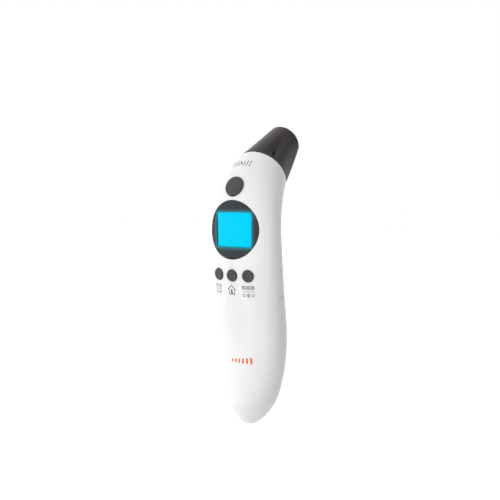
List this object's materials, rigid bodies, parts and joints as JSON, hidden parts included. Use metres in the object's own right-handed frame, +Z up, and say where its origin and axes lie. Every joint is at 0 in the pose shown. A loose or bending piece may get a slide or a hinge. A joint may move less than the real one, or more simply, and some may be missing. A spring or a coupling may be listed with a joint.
{
  "type": "digital ear thermometer",
  "caption": "Handheld ear and forehead thermometer: curved handle, round lit display, push keys and a pull-off probe cap on a leaning head.",
  "frame": {"origin": "on the handle's centre line at the middle of the grip, 45 mm up the centre line from the tail", "axes": "+Z up the handle, the display faces -Y, +X to the display's right as it is read; the head leans to +Y"},
  "size_m": [0.04, 0.0527, 0.1522],
  "materials": {
    "white_plastic": "glossy moulded white plastic",
    "smoked_lens": "polished smoked window",
    "black_print": "black print behind the window",
    "black_rubber": "soft seal",
    "inner_plastic": "moulded inner part",
    "lit_display": "backlit display glass, no figures shown",
    "diffuser": "light diffuser",
    "led": "small lamp",
    "pink_rubber": "striped contact rubber",
    "board_green": "solder-masked board",
    "chip_black": "moulded package",
    "plated_steel": "plated",
    "ceramic": "ceramic body",
    "switch_grey": "switch housing",
    "dark_key": "fine matte dark grey",
    "amber_film": "flexible film",
    "head_grey": "moulded light grey",
    "probe_white": "smooth moulded",
    "metal_grey": "turned",
    "window_glass": "infrared window",
    "gold_tube": "gold-plated bore",
    "wire_red": "insulated wire",
    "dark_cap": "satin dark grey",
    "battery_sleeve": "plain sleeve"
  },
  "bodies": {
    "housing": {"front_shell": "white_plastic", "rear_shell": "white_plastic", "display_lens": "smoked_lens", "display_mask": "black_print", "lens_gasket": "black_rubber", "display_frame": "inner_plastic", "lcd_glass": "lit_display", "backlight_panel": "diffuser", "backlight_leds": "led", "contact_strip": "pink_rubber", "main_board": "board_green", "processor": "chip_black", "memory_chip": "chip_black", "crystal": "plated_steel", "capacitors": "ceramic", "buzzer": "chip_black", "key_switches": "switch_grey", "scan_board": "board_green", "scan_switch": "switch_grey", "board_ribbon": "amber_film", "board_screws": "plated_steel", "head_plate": "head_grey", "probe_nose": "probe_white", "probe_nut": "metal_grey", "probe_window": "window_glass", "waveguide": "gold_tube", "thermopile": "plated_steel", "sensor_block": "metal_grey", "sensor_leads": "wire_red", "battery_tray": "inner_plastic", "battery_left": "battery_sleeve", "battery_right": "battery_sleeve", "spring_contacts": "plated_steel", "plate_contacts": "plated_steel", "battery_wires": "wire_red", "shell_screws": "plated_steel"},
    "scan_button": {"scan_button": "dark_key"},
    "clock_key": {"clock_key": "dark_key"},
    "home_key": {"home_key": "dark_key"},
    "memory_key": {"memory_key": "dark_key"},
    "probe_cap": {"probe_cap": "dark_cap"},
    "battery_door": {"battery_door": "white_plastic"}
  },
  "joints": [
    {"name": "scan_press", "type": "slide", "parent": "housing", "child": "scan_button", "axis": [0, 0.9251, -0.3798], "range_m": [0, 0.0008], "stiffness_N_per_m": 1500},
    {"name": "clock_press", "type": "slide", "parent": "housing", "child": "clock_key", "axis": [0.2496, 0.9649, 0.0812], "range_m": [0, 0.0005], "stiffness_N_per_m": 1000},
    {"name": "home_press", "type": "slide", "parent": "housing", "child": "home_key", "axis": [0, 0.9968, 0.0804], "range_m": [0, 0.0005], "stiffness_N_per_m": 1000},
    {"name": "memory_press", "type": "slide", "parent": "housing", "child": "memory_key", "axis": [-0.2496, 0.9649, 0.0812], "range_m": [0, 0.0005], "stiffness_N_per_m": 1000},
    {"name": "cap_pull", "type": "slide", "parent": "housing", "child": "probe_cap", "axis": [0, 0.7791, 0.6269], "range_m": [0, 0.035]},
    {"name": "door_slide", "type": "slide", "parent": "housing", "child": "battery_door", "axis": [0, 0.1822, -0.9833], "range_m": [0, 0.07]}
  ]
}
